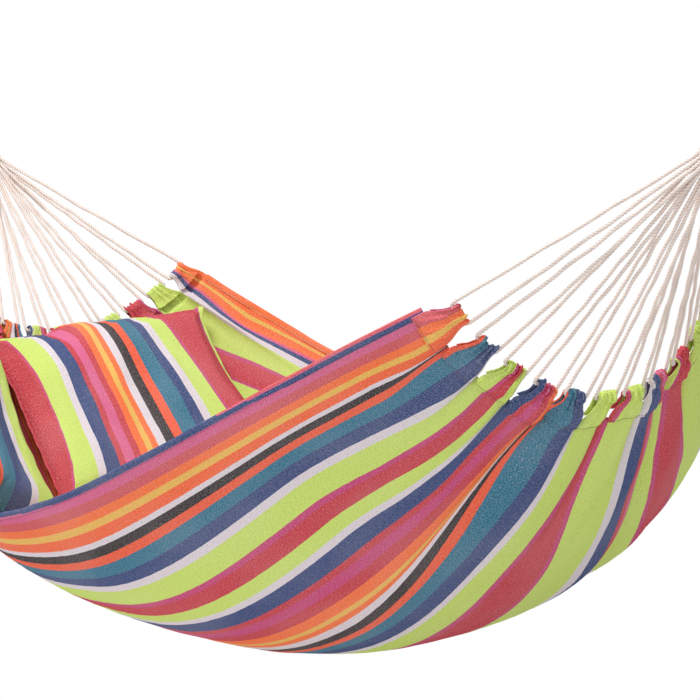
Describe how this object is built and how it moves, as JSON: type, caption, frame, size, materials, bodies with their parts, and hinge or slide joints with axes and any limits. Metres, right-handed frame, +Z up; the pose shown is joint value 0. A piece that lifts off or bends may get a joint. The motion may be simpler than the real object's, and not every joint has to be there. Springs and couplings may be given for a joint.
{
  "type": "rope hammock",
  "caption": "Striped cotton cloth hammock on fans of cotton cords, with sewn tabs, bound necks, rope loops, steel hanging rings and two loose pillows.",
  "frame": {"origin": "centre of the left hanging ring, which hooks onto the support", "axes": "+X runs level along the hammock from the left ring to the right ring, +Y runs across it from the near rim to the far rim, +Z is up"},
  "size_m": [2.6435, 1.3487, 1.0354],
  "materials": {
    "striped_cloth": "heathered plain weave of coloured stripes, matt",
    "cord_cotton": "twisted natural cotton cord, matt",
    "whipping_cord": "tight turns of thin natural cord",
    "served_rope": "rope served with thin natural cord",
    "galvanised_steel": "zinc plated, lightly worn",
    "pillow_filling": "soft white polyester wadding"
  },
  "bodies": {
    "left_ring": {"left_ring": "galvanised_steel"},
    "hammock": {"bed_cloth": "striped_cloth", "left_hem_tabs": "striped_cloth", "right_hem_tabs": "striped_cloth", "left_cord_01": "cord_cotton", "left_cord_02": "cord_cotton", "left_cord_03": "cord_cotton", "left_cord_04": "cord_cotton", "left_cord_05": "cord_cotton", "left_cord_06": "cord_cotton", "left_cord_07": "cord_cotton", "left_cord_08": "cord_cotton", "left_cord_09": "cord_cotton", "left_cord_10": "cord_cotton", "left_cord_11": "cord_cotton", "right_cord_01": "cord_cotton", "right_cord_02": "cord_cotton", "right_cord_03": "cord_cotton", "right_cord_04": "cord_cotton", "right_cord_05": "cord_cotton", "right_cord_06": "cord_cotton", "right_cord_07": "cord_cotton", "right_cord_08": "cord_cotton", "right_cord_09": "cord_cotton", "right_cord_10": "cord_cotton", "right_cord_11": "cord_cotton", "left_whipping": "whipping_cord", "right_whipping": "whipping_cord", "left_hanging_loop": "served_rope", "right_hanging_loop": "served_rope"},
    "right_ring": {"right_ring": "galvanised_steel"},
    "far_pillow": {"far_pillow_front_panel": "striped_cloth", "far_pillow_back_panel": "striped_cloth", "far_pillow_filling": "pillow_filling"},
    "near_pillow": {"near_pillow_front_panel": "striped_cloth", "near_pillow_back_panel": "striped_cloth", "near_pillow_filling": "pillow_filling"}
  },
  "joints": [
    {"name": "swing", "type": "hinge", "parent": "left_ring", "child": "hammock", "pos_m": [0.02051, 0, -0.02051], "axis": [1, 0, 0], "range_deg": [-40, 40]},
    {"name": "right_ring_turn", "type": "hinge", "parent": "hammock", "child": "right_ring", "pos_m": [2.55698, 0, -0.02051], "axis": [1, 0, 0], "range_deg": [-40, 40]},
    {"name": "far_pillow_lift", "type": "slide", "parent": "hammock", "child": "far_pillow", "axis": [0.2991, 0.4187, 0.8574], "range_m": [0, 0.3]},
    {"name": "near_pillow_lift", "type": "slide", "parent": "hammock", "child": "near_pillow", "axis": [0.3002, 0.2501, 0.9205], "range_m": [0, 0.3]}
  ],
  "couplings": [
    {"joint": "right_ring_turn", "follows": "swing", "ratio": -1}
  ]
}
